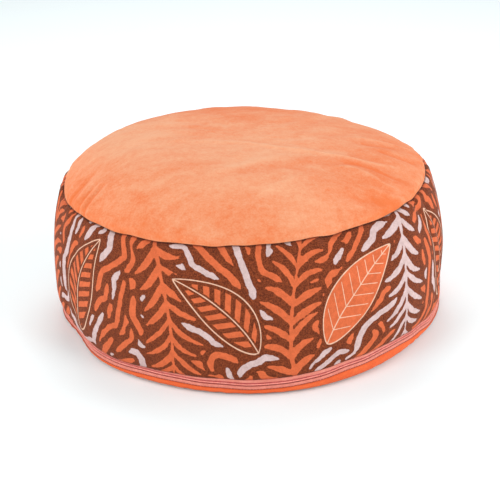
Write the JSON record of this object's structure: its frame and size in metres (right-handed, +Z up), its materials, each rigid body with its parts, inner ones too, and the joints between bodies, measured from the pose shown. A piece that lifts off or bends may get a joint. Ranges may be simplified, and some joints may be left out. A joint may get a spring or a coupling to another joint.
{
  "type": "zafu meditation cushion",
  "caption": "Round, firmly filled floor cushion for sitting, with a crowned top, a printed side band drawn in at its seams and a zip round its foot.",
  "frame": {"origin": "on the floor, under the middle of the cushion", "axes": "+Z up, through the crowned top; -Y is the side that the picture shows; +X is to its right"},
  "size_m": [0.3607, 0.36, 0.1675],
  "materials": {
    "top_suede": "plain coral-orange microsuede with a soft, brushed nap",
    "band_print": "brown microsuede printed in orange, lilac-white and cream",
    "zip_tape": "woven coral-pink zip tape",
    "zip_coil": "closed coral-pink nylon coil",
    "base_suede": "plain orange microsuede"
  },
  "bodies": {
    "root": {"top_panel": "top_suede", "side_band": "band_print", "zip_tape_upper": "zip_tape", "zip_coil": "zip_coil", "zip_tape_lower": "zip_tape", "base_panel": "base_suede"}
  },
  "joints": []
}
